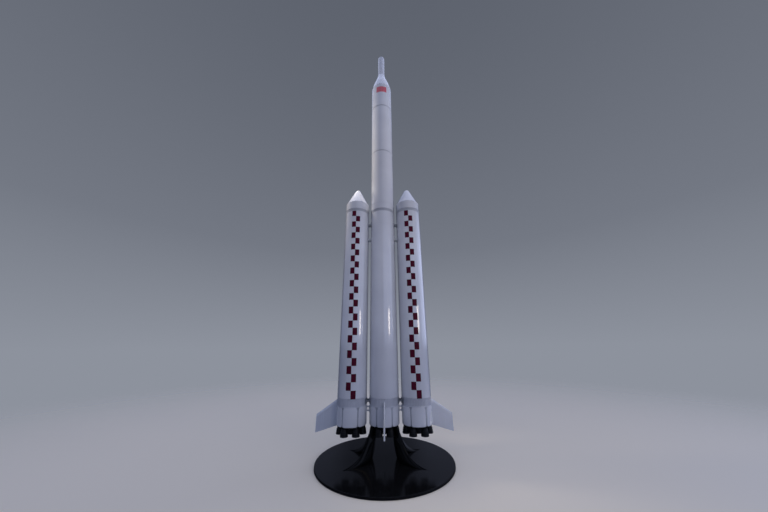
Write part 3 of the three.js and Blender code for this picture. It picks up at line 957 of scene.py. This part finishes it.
def lay_floor():
    material, tree, shader = new_material("pale_studio_floor")
    place = add(tree, "ShaderNodeTexCoord").outputs["Object"]
    reach = add(tree, "ShaderNodeVectorMath", {"operation": "LENGTH"}, {0: place})
    fade = add(tree, "ShaderNodeMapRange", {"interpolation_type": "SMOOTHSTEP"}, {
        "Value": reach.outputs["Value"], "From Min": FLOOR_FADE[0], "From Max": FLOOR_FADE[1]})
    seen = add(tree, "ShaderNodeLightPath").outputs["Is Camera Ray"]
    tone = add(tree, "ShaderNodeMix", {"data_type": "RGBA"}, {
        "Factor": seen, "A": linear(FLOOR_BOUNCE), "B": linear(FLOOR_COLOUR)})
    tree.links.new(tone.outputs["Result"], shader.inputs["Base Color"])
    clear = add(tree, "ShaderNodeBsdfTransparent")
    mix = add(tree, "ShaderNodeMixShader", sockets={
        0: fade.outputs["Result"], 1: shader.outputs["BSDF"], 2: clear.outputs["BSDF"]})
    tree.links.new(mix.outputs["Shader"], tree.nodes["Material Output"].inputs["Surface"])
    shader.inputs["Roughness"].default_value = 0.6
    bm = bmesh.new()
    bmesh.ops.create_circle(bm, cap_ends=True, segments=FLOOR_SIDES, radius=FLOOR_RADIUS)
    mesh = bpy.data.meshes.new("studio_floor")
    bm.to_mesh(mesh)
    bm.free()
    mesh.materials.append(material)
    floor = bpy.data.objects.new("studio_floor", mesh)
    bpy.context.scene.collection.objects.link(floor)


lay_floor()

# Studio light: soft panels and ceiling, softboxes, two small lamps, and a backdrop for the camera
PANELS = [  # azimuth, half width and soft edge in degrees, strength, and where it fades upwards
    (62, 58, 6, 1.15, 0.3, 0.6),
    (104, 24, 12, 0.9, 0.3, 0.6),
    (-64, 46, 16, 0.54, 0.3, 0.6),
    (150, 21, 6, 0.07, 0.6, 0.9),
    (-150, 18, 6, 0.06, 0.6, 0.9),
]
LIGHT_COLOUR = "#ced9ff"
LAMP_COLOUR = "#fff2e2"
HORIZON_FADE = (-0.02, 0.04)
AMBIENT = 0.06
CEILING = 0.95
CEILING_FADE = (0.6, 0.95)
BACKDROP = ((0.0, "#8d929d"), (0.35, "#737883"), (1.0, "#5a5f6a"))
LAMPS = [  # name, place, aim, size, spread in degrees, watts, whether it shows in reflections only
    ("slim_softbox", (2.16, -1.95, 2.4), (0, 0, 2.4), (0.6, 0.69), 180, 9.0, True),
    ("left_tall_softbox", (-3.0, 0.4, 6.3), (0, 0, 6.3), (0.6, 3.2), 100, 34.0, False),
    ("right_tall_softbox", (3.0, -2.0, 6.6), (0, 0, 6.6), (0.6, 3.6), 100, 12.0, False),
    ("nose_lamp", (-0.97, 0.0, 6.15), (-0.45, 0, 4.6), (0.15, 0.15), 40, 1.8, False),
    ("right_front_softbox", (2.6, -3.7, 2.8), (0, 0, 2.8), (0.8, 3.6), 150, 15.0, False),
    ("left_front_softbox", (-2.8, -3.0, 3.7), (0, 0, 3.7), (0.6, 2.2), 100, 2.6, False),
    ("fin_lamp", (3.3, -1.8, 0.3), (1.05, 0, 0.72), (0.3, 0.3), 19, 0.24, False),
]


def light_world():
    world = bpy.data.worlds.new("studio")
    bpy.context.scene.world = world
    world.use_nodes = True
    tree = world.node_tree
    tree.nodes.clear()
    direction = add(tree, "ShaderNodeTexCoord").outputs["Generated"]
    up = add(tree, "ShaderNodeSeparateXYZ", sockets={0: direction}).outputs["Z"]
    flat = add(tree, "ShaderNodeVectorMath", {"operation": "MULTIPLY"}, {0: direction, 1: (1, 1, 0)})
    level = add(tree, "ShaderNodeVectorMath", {"operation": "NORMALIZE"}, {0: flat.outputs["Vector"]})

    def ramp(value, start, end, low, high):
        smooth = add(tree, "ShaderNodeMapRange", {"interpolation_type": "SMOOTHSTEP"}, {
            "Value": value, "From Min": start, "From Max": end, "To Min": low, "To Max": high})
        return smooth.outputs["Result"]

    def maths(operation, a, b):
        return add(tree, "ShaderNodeMath", {"operation": operation}, {0: a, 1: b}).outputs["Value"]

    def towards(azimuth, half, edge, strength):
        angle = math.radians(azimuth)
        facing = add(tree, "ShaderNodeVectorMath", {"operation": "DOT_PRODUCT"}, {
            0: level.outputs["Vector"], 1: (math.sin(angle), -math.cos(angle), 0)})
        dark = math.cos(math.radians(half + edge))
        lit = math.cos(math.radians(half))
        return ramp(facing.outputs["Value"], dark, lit, 0.0, strength)

    total = 0.0
    for azimuth, half, edge, strength, fade, gone in PANELS:
        band = maths("MULTIPLY", ramp(up, *HORIZON_FADE, 0.0, 1.0), ramp(up, fade, gone, 1.0, 0.0))
        total = maths("ADD", total, maths("MULTIPLY", towards(azimuth, half, edge, strength), band))
    total = maths("ADD", total, ramp(up, *CEILING_FADE, AMBIENT, CEILING))
    light = add(tree, "ShaderNodeBackground", sockets={"Color": linear(LIGHT_COLOUR), "Strength": total})
    shade = add(tree, "ShaderNodeValToRGB", sockets={"Fac": up})
    blend_colours(shade, *BACKDROP)
    backdrop = add(tree, "ShaderNodeBackground", sockets={"Color": shade.outputs["Color"]})
    seen = add(tree, "ShaderNodeLightPath").outputs["Is Camera Ray"]
    mix = add(tree, "ShaderNodeMixShader", sockets={
        0: seen, 1: light.outputs["Background"], 2: backdrop.outputs["Background"]})
    add(tree, "ShaderNodeOutputWorld", sockets={"Surface": mix.outputs["Shader"]})
    bpy.context.scene.view_settings.view_transform = "Standard"


def hang_lamps():
    for name, place, aim, size, spread, watts, mirrored in LAMPS:
        lamp = bpy.data.lights.new(name, "AREA")
        lamp.shape = "RECTANGLE"
        lamp.size, lamp.size_y = size
        lamp.spread = math.radians(spread)
        lamp.energy = watts
        lamp.color = linear(LAMP_COLOUR)[:3]
        made = bpy.data.objects.new(name, lamp)
        facing = (Vector(aim) - Vector(place)).to_track_quat("-Z", "Y").to_matrix().to_4x4()
        made.matrix_world = Matrix.Translation(place) @ facing
        made.visible_camera = False
        made.visible_glossy = mirrored
        made.visible_diffuse = not mirrored
        bpy.context.scene.collection.objects.link(made)


light_world()
hang_lamps()
